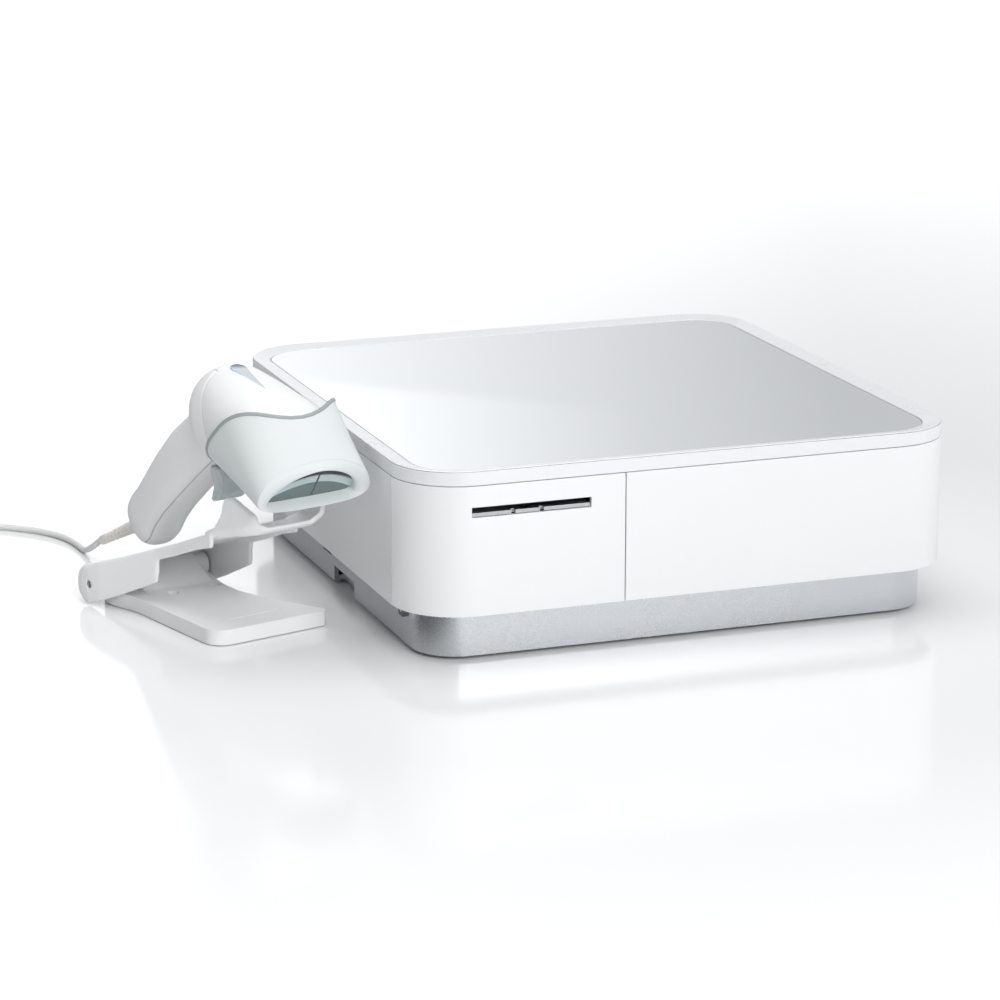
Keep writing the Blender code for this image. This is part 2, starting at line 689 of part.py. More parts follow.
def build_arm(frame):
    py, pz = ARM_PIVOT
    end_r = 10.8
    stations = []
    for angle, left in ((15, 46.5), (40, 47.0), (65, 47.0), (90, 46.6)):
        a = math.radians(angle)
        rise = end_r * math.sin(a)
        stations.append((py + end_r * math.cos(a), pz + rise, pz - rise, left))
    # y, top z, bottom z and left half width, from the hinge forward
    stations += [(60, 25.2, 3.6, 44.5), (50, 28.6, 7.8, 40.5),
                 (38, 33.0, 13.4, 36.0), (24, 38.4, 20.0, 31.0),
                 (23, 38.8, 32.2, 30.8), (10, 43.6, 36.8, 28.4),
                 (-10, 51.4, 44.6, 27.4, 27.4), (-24, 57.0, 48.6, 26.6, 26.6)]
    arm = loft("stand_arm", [channel(*s) for s in stations], "white_plastic",
               frame=frame)
    # y, floor z, wing top z and half width of the cradle
    trough = [(-18, 50.6, 56.0, 26.2), (-28, 53.8, 60.5, 26.4),
              (-34, 55.6, 68.0, 26.0), (-37, 56.3, 77.5, 25.8),
              (-44, 57.8, 79.0, 25.2), (-51, 59.6, 76.0, 23.8),
              (-57, 62.6, 72.0, 21.0)]
    tool = loft("add_cup", [cup(*s) for s in trough], "steel", frame=frame,
                cutter=True)
    join(arm, tool)
    cut_round(arm, "x", (-9.0, py, pz), 2.5 + 0.05, 74.4, 16, frame)


# --- scanner ----------------------------------------------------------------
RING = 28


def section(top, bottom, half, widest=0.5, round_top=2.3, round_low=2.3,
            push=None):
    """Closed section across the head between a top and a bottom (y, z)."""
    ring = []
    rise = (top[0] - bottom[0], top[1] - bottom[1])
    for k in range(RING):
        angle = 2 * math.pi * k / RING
        c, s = math.cos(angle), math.sin(angle)
        power = round_top if s >= 0 else round_low
        x = half * math.copysign(abs(c) ** (2 / power), c)
        up = abs(s) ** (2 / power)
        level = widest + up * (1 - widest) if s >= 0 else widest - up * widest
        y = bottom[0] + rise[0] * level
        z = bottom[1] + rise[1] * level
        if push is not None:
            dy, dz = push(x / half, s)
            y, z = y + dy, z + dz
        ring.append((x, y, z))
    return ring


def inset(ring, amount):
    """The same ring drawn in toward its middle by about amount."""
    middle = sum((Vector(p) for p in ring), Vector()) / len(ring)
    result = []
    for point in ring:
        arm = Vector(point) - middle
        result.append(tuple(middle + arm * (1 - amount / arm.length)))
    return result


HEAD_LEAN = math.radians(32.0)
FORWARD = (-math.cos(HEAD_LEAN), -math.sin(HEAD_LEAN))   # nose (y, z)
MOUTH_TOP, MOUTH_LOW = (-92.6, 103.4), (-74.5, 75.8)


def boot_edge(side, s):
    """Rear edge of the boot: runs forward over the middle of the top."""
    reach = 0.0
    if s > 0:
        reach = 20.0 * math.exp(-(side / 0.42) ** 2) * s
    return FORWARD[0] * reach, FORWARD[1] * reach


def build_boot(frame):
    outer = [section((-45, 127.5), (-26, 80.0), 33.6, 0.56, 2.3, 2.2,
                     boot_edge),
             section((-66, 118.5), (-42, 79.0), 34.0, 0.45, 2.4, 2.4),
             section((-81, 110.5), (-58, 77.6), 34.8, 0.36, 2.4, 2.6),
             section((-91.0, 104.2), (-73, 76.2), 35.6, 0.28, 2.3, 2.9),
             section(MOUTH_TOP, MOUTH_LOW, 35.2, 0.26, 2.3, 3.0)]
    inner = [inset(outer[4], 5.4), inset(outer[3], 5.8), inset(outer[2], 3.0),
             inset(outer[1], 2.4), inset(outer[0], 2.4)]
    loft("nose_boot", outer + inner, "grey_rubber", closed_loop=True,
         frame=frame)


HEAD_SEAM = ((-6.0, 137.0), (-24.0, 83.0))
LENS_GAP = 0.3
LENS_LEAN = math.radians(13.5)
TRIGGER_HALF = 8.0
TRIGGER_PIVOT = (4.0, 80.5)     # y, z


def build_head(frame):
    cover = [section(*HEAD_SEAM, 23.6, 0.5),
             section((-34, 129.6), (-30, 84.0), 26.6, 0.54),
             section((-50, 121.0), (-38, 84.6), 27.6, 0.5),
             section((-62, 114.5), (-45, 85.0), 27.8, 0.45, 2.4, 2.4)]
    hollow = [inset(ring, 2.2) for ring in reversed(cover)]
    head = loft("head_cover", cover + hollow, "white_plastic",
                closed_loop=True, frame=frame)
    cut(head, teardrop("cut_lens", LENS_GAP, 8.0, frame, True))
    cut_box(head, (-TRIGGER_HALF - 0.6, TRIGGER_HALF + 0.6), (-34, 7.6),
            (62.5, 83.4), frame=frame)


def teardrop(name, grow, depth, frame, cutter=False):
    """Lens outline: round at the rear, drawn to a point at the front."""
    outline = arc(0, 10.5, 4.2 + grow, -15, 195, 8)
    outline += [(-2.6 - grow, 2.0), (-1.2 - grow, -8.0), (0, -15.5 - grow),
                (1.2 + grow, -8.0), (2.6 + grow, 2.0)]
    lens = plate(name, outline, "z", (-depth, 0.35 if not cutter else depth),
                 "blue_grey_lens", frame, cutter)
    lens.location = Vector((0, -21.5, 133.6)) * MM
    lens.rotation_euler = (LENS_LEAN, 0, 0)
    return lens


def build_grip(frame):
    seam_top, seam_low = HEAD_SEAM
    seam = section(*HEAD_SEAM, 23.4)
    dome = [section((11.0, 118), (11.0, 106), 8.0),
            section((9.5, 126), (10.5, 98), 15.0),
            section((6.0, 132.2), (7.0, 91), 19.8),
            section((1.0, 135.6), (-4.0, 86), 22.4),
            [(x, y + GAP, z) for x, y, z in seam]]
    grip = loft("scanner_grip", dome, "white_plastic", frame=frame)
    # handle: centre (y, z), half width, half depth and lean of each section
    spine = [(-4, 108, 15.5, 17.0, 22), (10, 98, 15.8, 17.5, 32),
             (28, 84.5, 16.0, 17.2, 42), (45, 69.6, 15.8, 16.8, 46),
             (60, 55.6, 15.4, 16.2, 48), (72, 44.0, 14.9, 15.4, 50),
             (79, 37.0, 13.6, 13.8, 50), (82.5, 33.4, 9.8, 10.0, 50)]
    rings = []
    for y, z, half, depth, lean in spine:
        a = math.radians(lean)
        dy, dz = depth * math.cos(a), depth * math.sin(a)
        rings.append(section((y + dy, z + dz), (y - dy, z - dz), half, 0.5,
                             2.5, 2.5))
    join(grip, loft("add_handle", rings, "steel", frame=frame, cutter=True))
    hollow = [section((3.0, 127), (2.0, 102), 12.0),
              section((-2.0, 132.0), (-8.0, 90), 19.0),
              section((-24.0, 134.0), (-40.0, 88), 20.4)]
    cut(grip, loft("cut_grip", hollow, "steel", frame=frame, cutter=True))
    cut_box(grip, (-TRIGGER_HALF - 0.6, TRIGGER_HALF + 0.6), (-30, 7.6),
            (62.5, 83.4), frame=frame)


def tilted_box(name, x, centre, size, mat, frame, lean=HEAD_LEAN, radius=0.0):
    """A box whose depth runs along the nose direction (size = depth, rise)."""
    depth, rise = size
    bm = box_mesh(x, (-depth / 2, depth / 2), (-rise / 2, rise / 2))
    if radius > 0:
        bmesh.ops.bevel(bm, geom=bm.edges[:], offset=radius, segments=2,
                        profile=0.5, affect="EDGES")
    turn = Matrix.Rotation(lean, 4, "X")
    bmesh.ops.transform(bm, matrix=Matrix.Translation((0, *centre)) @ turn,
                        verts=bm.verts)
    return add_mesh(name, bm, mat, frame=frame)


def build_scan_engine(frame):
    window = section((-83.8, 98.2), (-72.2, 81.6), 25.6, 0.24, 2.3, 3.4)
    back = [(x, y - FORWARD[0] * 1.6, z - FORWARD[1] * 1.6)
            for x, y, z in window]
    loft("scan_window", [window, back], "dark_glass", frame=frame)
    tilted_box("light_bar", (-20, 20), (-70.5, 102.0), (5, 3.2),
               "blue_grey_lens", frame)
    tilted_box("sensor_module", (-17, 17), (-54.0, 97.5), (12, 14),
               "black_plastic", frame)
    tilted_box("scanner_board", (-17.5, 17.5), (-33.0, 101.0), (20, 1.6),
               "circuit_board", frame)


def build_lens(frame):
    return teardrop("indicator_lens", 0.0, 1.6, frame)


def build_trigger(frame):
    profile = [(5.4, 82.6), (-2.0, 82.4), (-6.0, 79.0), (-6.8, 75.0),
               (-5.0, 70.0), (-1.0, 66.0), (3.4, 64.2), (5.2, 65.4),
               (2.6, 72.0), (5.4, 78.5)]
    return plate("trigger", profile, "x", (-TRIGGER_HALF, TRIGGER_HALF),
                 "blue_grey_lens", frame)


def ring_across(y, z, radius, lean):
    """A round section facing back and down along the cable."""
    ring = []
    for k in range(12):
        a = 2 * math.pi * k / 12
        up = radius * math.sin(a)
        ring.append((radius * math.cos(a), y + up * math.sin(lean),
                     z + up * math.cos(lean)))
    return ring


RELIEF_LEAN = math.radians(24.0)


def build_cable(frame):
    sections = ((86.5, 34.0, 4.0), (100, 27.8, 3.8), (116, 20.7, 3.4),
                (124, 17.2, 2.9), (133, 13.2, 2.6))
    loft("strain_relief",
         [ring_across(y, z, r, RELIEF_LEAN) for y, z, r in sections],
         "grey_rubber", frame=frame)
    # drops behind the handle, then runs back and left along the counter
    route = [(-247.5, 92.7, 12.0), (-250.0, 101.5, 6.4), (-251.6, 111.0, 2.4),
             (-252.6, 125.0, 1.8), (-256.0, 142.0, 1.8), (-264.0, 157.0, 1.8),
             (-275.0, 169.0, 1.8), (-287.0, 178.0, 1.8), (-303.0, 184.0, 1.8),
             (-321.0, 177.0, 1.8), (-331.0, 160.0, 2.2), (-333.0, 142.5, 4.6)]
    tube_curve("scanner_cable", route, 1.7, "white_plastic", resolution=3)
    plug = box("usb_plug", (-339.0, -327.0), (104.0, 141.0), (0.2, 9.0),
               "white_plastic", 2.0, 2)
    join_box(plug, (-338.5, -327.5), (91.0, 106.0), (2.0, 6.8))
    cut_box(plug, (-337.8, -328.2), (90.0, 100.0), (2.6, 4.4))


# --- pivots -----------------------------------------------------------------
PLACES = {}          # where each empty stands, seen from the counter frame


def pivot(name, centre, pieces, carrier=COUNTER, drawn_in=COUNTER):
    """An empty on a joint's axis that carries the pieces moving on it."""
    empty = bpy.data.objects.new(name, None)
    PARTS.objects.link(empty)
    shift = Matrix.Translation([value * MM for value in centre])
    PLACES[name] = PLACES[drawn_in.name] @ shift
    empty.parent = carrier
    empty.matrix_local = PLACES[carrier.name].inverted() @ PLACES[name]
    for piece_name in pieces:
        carry(empty, bpy.data.objects[piece_name])
    return empty


def carry(empty, piece):
    """Hang a piece on an empty without moving it."""
    unmoved = PLACES[empty.name].inverted() @ PLACES[piece.parent.name]
    piece.parent = empty
    piece.matrix_parent_inverse = unmoved


def hang_base_pieces():
    pivot("drawer_axis", ((FRONT_SEAM_X + HALF_W) / 2, -HALF_D, CHASSIS_Z),
          ("drawer_front", "drawer_box", "coin_tray", "bill_divider_1",
           "bill_divider_2"))
    cover = pivot("cover_axis", (-95.0, *COVER_PIVOT),
                  ("printer_cover", "platen_holder", "tear_bar"))
    gear_x = (GEAR_X0 + GEAR_X1) / 2
    pivot("platen_axis", (gear_x, *PLATEN_AXIS),
          ("platen_roller", "platen_gear"), carrier=cover)
    pivot("idler_axis", (gear_x, *IDLER_AXIS), ("idler_gear",))
    pivot("motor_axis", (gear_x, *MOTOR_AXIS), ("motor_pinion",))
    pivot("roll_axis", (-87.5, *ROLL_AXIS), ("paper_roll", "paper_core"))
    for key, (x, _radius) in REAR_BUTTONS.items():
        pivot(key + "_axis", (x, HALF_D, REAR_BUTTON_Z), (key,))
    pivot("plunger_axis", (65.2, *PLUNGER_AXIS), ("solenoid_plunger",))
    pivot("hook_axis", (*LATCH_PIVOT, 47.0), ("latch_hook",))


def hang_stand_pieces(frame):
    for name in ("scanner_cable", "usb_plug"):
        carry(frame, bpy.data.objects[name])
    arm = pivot("arm_axis", (-9.0, *ARM_PIVOT), ("stand_arm",),
                carrier=frame, drawn_in=frame)
    scanner = pivot("scanner_axis", (0.0, 0.0, 80.5),
                    ("nose_boot", "head_cover", "scanner_grip", "scan_window",
                     "light_bar", "sensor_module", "scanner_board",
                     "indicator_lens", "strain_relief"),
                    carrier=arm, drawn_in=frame)
    pivot("trigger_axis", (0.0, *TRIGGER_PIVOT), ("trigger",),
          carrier=scanner, drawn_in=frame)


frame = stand_empty()
PLACES[COUNTER.name] = Matrix.Identity(4)
PLACES[frame.name] = frame.matrix_basis.copy()
plinth = build_plinth()
build_feet()
build_chassis_plate()
build_body_shell()
build_rim()
build_deck()
build_partition()
build_printer_cover()
build_cover_hinge(plinth)
build_gears()
build_platen()
build_print_head()
build_printer_frame()
build_feed_motor()
build_paper()
build_electronics()
build_drawer()
build_coin_tray()
build_bill_dividers()
build_latch()
build_ejector()
build_stand(frame)
build_arm(frame)
build_boot(frame)
build_head(frame)
build_grip(frame)
build_scan_engine(frame)
build_lens(frame)
build_cable(frame)
build_trigger(frame)
hang_base_pieces()
hang_stand_pieces(frame)
for name in ("nose_boot", "head_cover", "scanner_grip", "strain_relief"):
    for polygon in bpy.data.objects[name].data.polygons:
        polygon.use_smooth = True
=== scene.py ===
"""Looks for the counter-top checkout base and its barcode scanner.

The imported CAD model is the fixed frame; its origin is the middle of the box's
flat top, DECK_Z above the counter.  The scanner's new pieces are drawn in
millimetres in the stand's own frame: +X to the right across the stand, -Y the
way the scanner looks, +Z up from the counter.
"""
import math

import bmesh
import bpy
from mathutils import Matrix, Vector


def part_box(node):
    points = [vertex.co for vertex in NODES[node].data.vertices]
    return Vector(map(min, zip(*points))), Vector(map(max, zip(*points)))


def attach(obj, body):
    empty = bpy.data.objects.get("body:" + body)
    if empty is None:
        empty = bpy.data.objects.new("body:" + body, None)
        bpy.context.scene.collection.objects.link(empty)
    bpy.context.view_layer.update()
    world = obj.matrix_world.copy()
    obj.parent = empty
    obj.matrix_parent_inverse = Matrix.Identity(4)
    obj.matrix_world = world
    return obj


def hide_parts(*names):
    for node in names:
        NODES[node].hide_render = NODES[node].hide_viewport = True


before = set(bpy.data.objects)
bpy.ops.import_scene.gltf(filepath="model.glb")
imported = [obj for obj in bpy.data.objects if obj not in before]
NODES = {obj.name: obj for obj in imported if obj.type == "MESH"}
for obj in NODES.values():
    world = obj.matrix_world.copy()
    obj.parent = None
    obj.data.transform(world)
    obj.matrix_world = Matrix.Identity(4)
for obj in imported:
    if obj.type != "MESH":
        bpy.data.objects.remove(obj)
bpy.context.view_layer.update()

MM = 0.001
DECK_Z = 98.0
PANEL_LOW = 25.2              # just under the white panels' bottom edge
# middle of the stand on the counter, and its turn
STAND_X, STAND_Y, STAND_TURN = -210.0, -38.0, math.radians(16.0)
COUNTER = Matrix.Translation((0, 0, -DECK_Z * MM))
STAND = (COUNTER @ Matrix.Translation((STAND_X * MM, STAND_Y * MM, 0))
         @ Matrix.Rotation(STAND_TURN, 4, "Z"))


# --- materials --------------------------------------------------------------
NOISE_LOW, NOISE_HIGH = 0.3, 0.7       # range that most of a noise's values fill


class Nodes:
    """Adds and links nodes in one shader tree."""

    def __init__(self, tree):
        self.tree = tree

    def add(self, kind, **inputs):
        """A new node; an input's name has _ in place of each space."""
        node = self.tree.nodes.new(kind)
        for name, value in inputs.items():
            node.inputs[name.replace("_", " ")].default_value = value
        return node

    def link(self, source, target):
        self.tree.links.new(source, target)

    def feed(self, socket, value):
        """Give a socket a number, a colour triple or another node's output."""
        if isinstance(value, bpy.types.NodeSocket):
            self.link(value, socket)
        elif isinstance(value, tuple):
            socket.default_value = (*value, 1.0)
        else:
            socket.default_value = value

    def mix(self, factor, first, second):
        """Blend two colours."""
        node = self.tree.nodes.new("ShaderNodeMix")
        node.data_type = "RGBA"
        self.feed(node.inputs[6], first)
        self.feed(node.inputs[7], second)
        self.feed(node.inputs[0], factor)
        return node.outputs[2]

    def maths(self, operation, first, second=0.0):
        node = self.tree.nodes.new("ShaderNodeMath")
        node.operation = operation
        self.feed(node.inputs[0], first)
        self.feed(node.inputs[1], second)
        return node.outputs[0]

    def product(self, first, *others):
        for other in others:
            first = self.maths("MULTIPLY", first, other)
        return first

    def gap(self, value, level):
        """How far a value is from a level."""
        return self.maths("ABSOLUTE", self.maths("SUBTRACT", value, level))

    def split(self, vector):
        node = self.tree.nodes.new("ShaderNodeSeparateXYZ")
        self.link(vector, node.inputs[0])
        return node.outputs

    def ramp(self, value, start, end, low=0.0, high=1.0):
        """Straight ramp from low at start to high at end, flat outside."""
        node = self.add("ShaderNodeMapRange", From_Min=start, From_Max=end,
                        To_Min=low, To_Max=high)
        self.link(value, node.inputs["Value"])
        return node.outputs["Result"]


class Finish(Nodes):
    """A new material with its Principled shader."""

    def __init__(self, name):
        self.material = bpy.data.materials.new(name)
        self.material.use_nodes = True
        super().__init__(self.material.node_tree)
        self.shader = self.tree.nodes["Principled BSDF"]
        self.where = self.add("ShaderNodeTexCoord").outputs["Object"]

    def shade(self, **inputs):
        """Set or link inputs of the shader."""
        for name, value in inputs.items():
            self.feed(self.shader.inputs[name.replace("_", " ")], value)

    def mapped(self, **inputs):
        """Object coordinates, moved, turned or scaled."""
        mapping = self.add("ShaderNodeMapping", **inputs)
        self.link(self.where, mapping.inputs["Vector"])
        return mapping.outputs["Vector"]

    def noise(self, scale, detail, stretch=None):
        node = self.add("ShaderNodeTexNoise", Scale=scale, Detail=detail)
        where = self.mapped(Scale=stretch) if stretch else self.where
        self.link(where, node.inputs["Vector"])
        return node.outputs["Fac"]

    def spread(self, noise, low, high):
        """Map a noise's usual range onto low..high."""
        return self.ramp(noise, NOISE_LOW, NOISE_HIGH, low, high)

    def recolour(self, factor, colour):
        """Paint another colour over the base colour where factor is 1."""
        below = self.shader.inputs["Base Color"].links[0].from_socket
        self.shade(Base_Color=self.mix(factor, below, colour))

    def bump(self, height, depth_mm, strength=0.5):
        """Relief on the surface; a second call replaces the first."""
        node = self.add("ShaderNodeBump", Strength=strength,
                        Distance=depth_mm * MM)
        self.link(height, node.inputs["Height"])
        self.shade(Normal=node.outputs["Normal"])


def surface(name, rgb, rough, metal=0.0, grain=1700.0, depth=0.03, tint=0.03,
            vary=0.05, stretch=None, coat=0.0, coat_rough=0.08, patch=22.0,
            specular=0.5, streak=0.0):
    """Moulded, painted or rolled finish with grain, patches and a soft bump.

    grain and patch are the noises' scales per metre, depth is the bump in mm,
    tint and vary are the spreads of colour and roughness, and stretch pulls
    the grain out into streaks.
    """
    n = Finish(name)
    broad = n.noise(patch, 4.0)
    fine = n.noise(grain, 2.0, stretch)
    dark = tuple(c * (1 - tint) for c in rgb)
    light = tuple(min(1.0, c * (1 + tint)) for c in rgb)
    is_metal = metal > 0.5
    n.shade(Base_Color=n.mix(fine if is_metal else broad, dark, light),
            Roughness=n.maths("ADD", n.spread(broad, -vary, vary),
                              n.spread(fine, rough - vary / 2, rough + vary / 2)),
            Metallic=metal, Specular_IOR_Level=specular, Coat_Weight=coat,
            Coat_Roughness=coat_rough, Anisotropic=streak)
    n.bump(fine, depth)
    return n


SATIN_WHITE = {"rgb": (0.86, 0.865, 0.875), "rough": 0.34, "tint": 0.012,
               "depth": 0.012, "coat": 0.25, "coat_rough": 0.22}
SCANNER_RGB = (0.90, 0.905, 0.905)

WHITE = surface("satin_white", **SATIN_WHITE)
RIM = surface("rim_white", (0.82, 0.83, 0.845), 0.30, tint=0.012, depth=0.010,
              coat=0.3, coat_rough=0.18)
DECK = surface("gloss_deck", (0.55, 0.57, 0.60), 0.14, tint=0.012,
               depth=0.001, coat=1.0, coat_rough=0.02, grain=900.0,
               patch=9.0, vary=0.02)
SILVER = surface("silver_paint", (0.66, 0.675, 0.70), 0.28, 1.0, tint=0.035,
                 depth=0.004, grain=2600.0, patch=6.0, vary=0.02)
SCANNER_WHITE = surface("scanner_white", SCANNER_RGB, 0.36, tint=0.015,
                        depth=0.015, coat=0.15, coat_rough=0.25)
BOOT = surface("soft_grey_boot", (0.70, 0.735, 0.735), 0.5, tint=0.025,
               depth=0.03, grain=2300.0, specular=0.4)
BOOT_EDGE = surface("boot_edge", (0.34, 0.38, 0.38), 0.5, tint=0.05,
                    depth=0.03, grain=2300.0)
STAND_WHITE = surface("stand_white", (0.91, 0.92, 0.92), 0.4, tint=0.02,
                      depth=0.03, grain=1300.0)
RUBBER = surface("black_rubber", (0.03, 0.03, 0.032), 0.75, tint=0.25,
                 depth=0.06, grain=1500.0, specular=0.3)
STEEL = surface("brushed_steel", (0.60, 0.61, 0.62), 0.30, 1.0, tint=0.10,
                depth=0.012, grain=500.0, stretch=(1, 14, 14), streak=0.5)
CHASSIS = surface("rolled_steel", (0.56, 0.57, 0.58), 0.36, 1.0, tint=0.12,
                  depth=0.015, grain=420.0, stretch=(12, 1, 12), patch=35.0)
DARK_PLASTIC = surface("black_plastic", (0.035, 0.036, 0.04), 0.42, tint=0.2,
                       depth=0.03)
GREY_PLASTIC = surface("grey_plastic", (0.27, 0.28, 0.30), 0.48, tint=0.05,
                       depth=0.05, grain=1100.0)
NYLON = surface("natural_nylon", (0.80, 0.78, 0.71), 0.45, tint=0.04,
                depth=0.02)
CABLE_WHITE = surface("cable_white", (0.82, 0.82, 0.81), 0.42, tint=0.03,
                      depth=0.02)
BEIGE = surface("relief_beige", (0.87, 0.83, 0.79), 0.5, tint=0.04, depth=0.03)
TRIGGER = surface("trigger_blue_grey", (0.64, 0.70, 0.73), 0.28, tint=0.05,
                  depth=0.004, coat=0.5, coat_rough=0.08, patch=120.0)
LIGHT_BAR = surface("bar_pale", (0.62, 0.70, 0.70), 0.22, tint=0.05,
                    depth=0.002, coat=0.4)


def paper_material():
    """Thermal paper, with its wound layers on the roll's ends."""
    n = surface("thermal_paper", (0.90, 0.90, 0.88), 0.8, tint=0.02,
                depth=0.02, grain=700.0, stretch=(6, 1, 1))
    layers = n.add("ShaderNodeTexWave", Scale=900.0, Distortion=0.6)
    layers.wave_type = "RINGS"
    layers.rings_direction = "X"
    low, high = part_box("paper_roll")
    from_axis = n.mapped(Location=-(low + high) / 2)
    n.link(from_axis, layers.inputs["Vector"])
    n.bump(layers.outputs["Fac"], 0.05, 0.4)
    return n


def board_material():
    """Green solder mask over a brick pattern of tracks."""
    n = surface("solder_mask", (0.02, 0.17, 0.08), 0.32, tint=0.08,
                depth=0.01, coat=0.4)
    tracks = n.add("ShaderNodeTexBrick", Scale=70.0, Mortar_Size=0.012,
                   Color1=(0.018, 0.15, 0.07, 1), Color2=(0.022, 0.18, 0.085, 1),
                   Mortar=(0.05, 0.30, 0.14, 1))
    n.link(n.where, tracks.inputs["Vector"])
    n.shade(Base_Color=tracks.outputs["Color"])
    n.bump(tracks.outputs["Fac"], 0.04, 0.5)
    return n


def cover_material():
    """White panel whose hinge arms are dark where they hang below it."""
    n = surface("cover_white", **SATIN_WHITE)
    height = n.split(n.where)[2]
    below = n.maths("LESS_THAN", height, (PANEL_LOW - DECK_Z) * MM)
    n.recolour(below, (0.05, 0.052, 0.055))
    return n


def on_stand(n):
    """Coordinates in the stand's own frame, in metres."""
    back = STAND.inverted()
    return n.split(n.mapped(Rotation=back.to_euler(), Location=back.translation))


def lens_material():
    """Pale lens that is dark where it turns down at its rear end."""
    n = surface("lens_blue_grey", (0.62, 0.69, 0.75), 0.14, tint=0.06,
                depth=0.001, coat=0.8, coat_rough=0.03, patch=120.0)
    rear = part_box("indicator_lens")[1][1]
    y = n.split(n.where)[1]
    n.recolour(n.ramp(y, rear - 6 * MM, rear - 1 * MM), (0.06, 0.08, 0.10))
    return n


GRIP_SEAM = 9.0               # from the middle plane to the parting lines
SEAM_OUTER, SEAM_CORE = 0.45, 0.15     # half widths where the line fades in


def grip_material():
    """White moulding with a fine parting line along each side."""
    n = surface("grip_white", SCANNER_RGB, 0.38, tint=0.015,
                depth=0.02, coat=0.1, coat_rough=0.3, grain=1500.0)
    aside = n.maths("ABSOLUTE", on_stand(n)[0])
    line = n.ramp(n.gap(aside, GRIP_SEAM * MM), SEAM_OUTER * MM, SEAM_CORE * MM)
    n.recolour(line, (0.52, 0.54, 0.55))
    n.bump(n.maths("SUBTRACT", 1.0, line), 0.25, 0.6)
    return n


# The window's middle line starts at WINDOW_LOW and runs by WINDOW_RISE, as
# (y, z) on the stand.  Levels are shares of that run, side is a share of the
# half width.
WINDOW_LOW, WINDOW_RISE = (-72.2, 81.6), (-11.6, 16.6)
WINDOW_HALF = 25.6
BAND_ARCH = 0.42              # how much lower the band is at the window's sides
BAND_LEVEL, BAND_OUTER, BAND_CORE = 0.66, 0.13, 0.10
GAP_START, GAP_FULL = 0.80, 0.83
DIVIDER_SIDE, DIVIDER_OUTER, DIVIDER_CORE = 0.10, 0.03, 0.015


def window_material():
    """Tinted window with a pale arched band, a black gap and a divider."""
    n = surface("window_dark", (0.10, 0.15, 0.15), 0.12, tint=0.12,
                depth=0.001, coat=0.8, coat_rough=0.03, patch=90.0)
    x, y, z = on_stand(n)
    length = WINDOW_RISE[0] ** 2 + WINDOW_RISE[1] ** 2
    along = n.maths("ADD", n.product(y, WINDOW_RISE[0] / length / MM),
                    n.product(z, WINDOW_RISE[1] / length / MM))
    start = (WINDOW_LOW[0] * WINDOW_RISE[0]
             + WINDOW_LOW[1] * WINDOW_RISE[1]) / length
    side = n.product(x, 1 / (WINDOW_HALF * MM))
    level = n.maths("ADD", n.maths("SUBTRACT", along, start),
                    n.product(side, side, BAND_ARCH))
    band = n.ramp(n.gap(level, BAND_LEVEL), BAND_OUTER, BAND_CORE)
    n.recolour(band, (0.50, 0.60, 0.61))
    n.recolour(n.ramp(level, GAP_START, GAP_FULL), (0.006, 0.008, 0.008))
    divider = n.ramp(n.gap(side, DIVIDER_SIDE), DIVIDER_OUTER, DIVIDER_CORE)
    n.recolour(divider, (0.03, 0.045, 0.045))
    return n


PAPER = paper_material()
BOARD = board_material()
COVER = cover_material()
WINDOW = window_material()
LENS = lens_material()
GRIP_WHITE = grip_material()

LOOKS = {
    "plinth": SILVER, "chassis_plate": CHASSIS, "body_shell": WHITE,
    "top_rim": RIM, "deck_plate": DECK, "partition": CHASSIS,
    "printer_cover": COVER, "hinge_pin_left": STEEL, "hinge_pin_right": STEEL,
    "platen_gear": NYLON, "idler_gear": NYLON, "motor_pinion": NYLON,
    "idler_pin": STEEL, "platen_roller": RUBBER, "platen_holder": GREY_PLASTIC,
    "tear_bar": STEEL, "print_head": NYLON, "head_heatsink": STEEL,
    "printer_frame": GREY_PLASTIC, "feed_motor": STEEL, "paper_roll": PAPER,
    "paper_core": GREY_PLASTIC, "main_board": BOARD, "dc_jack": DARK_PLASTIC,
    "usb_a_port": DARK_PLASTIC, "usb_b_port": DARK_PLASTIC,
    "power_button": GREY_PLASTIC, "pairing_button": GREY_PLASTIC,
    "drawer_front": WHITE, "drawer_box": GREY_PLASTIC,
    "drawer_rail_left": NYLON, "drawer_rail_right": NYLON,
    "coin_tray": GREY_PLASTIC, "bill_divider_1": GREY_PLASTIC,
    "bill_divider_2": GREY_PLASTIC, "latch_solenoid": CHASSIS,
    "solenoid_plunger": STEEL, "latch_hook": STEEL, "latch_pin": STEEL,
    "ejector_spring": STEEL, "stand_base": STAND_WHITE, "stand_pad": RUBBER,
    "stand_pin": STEEL, "stand_arm": STAND_WHITE, "nose_boot": BOOT,
    "head_cover": SCANNER_WHITE, "scanner_grip": GRIP_WHITE,
    "scan_window": WINDOW, "light_bar": LIGHT_BAR,
    "sensor_module": DARK_PLASTIC, "scanner_board": BOARD,
    "indicator_lens": LENS, "strain_relief": BEIGE, "trigger": TRIGGER,
    "scanner_cable": CABLE_WHITE, "usb_plug": CABLE_WHITE,
    "foot_left_front": RUBBER, "foot_left_rear": RUBBER,
    "foot_right_front": RUBBER, "foot_right_rear": RUBBER,
}

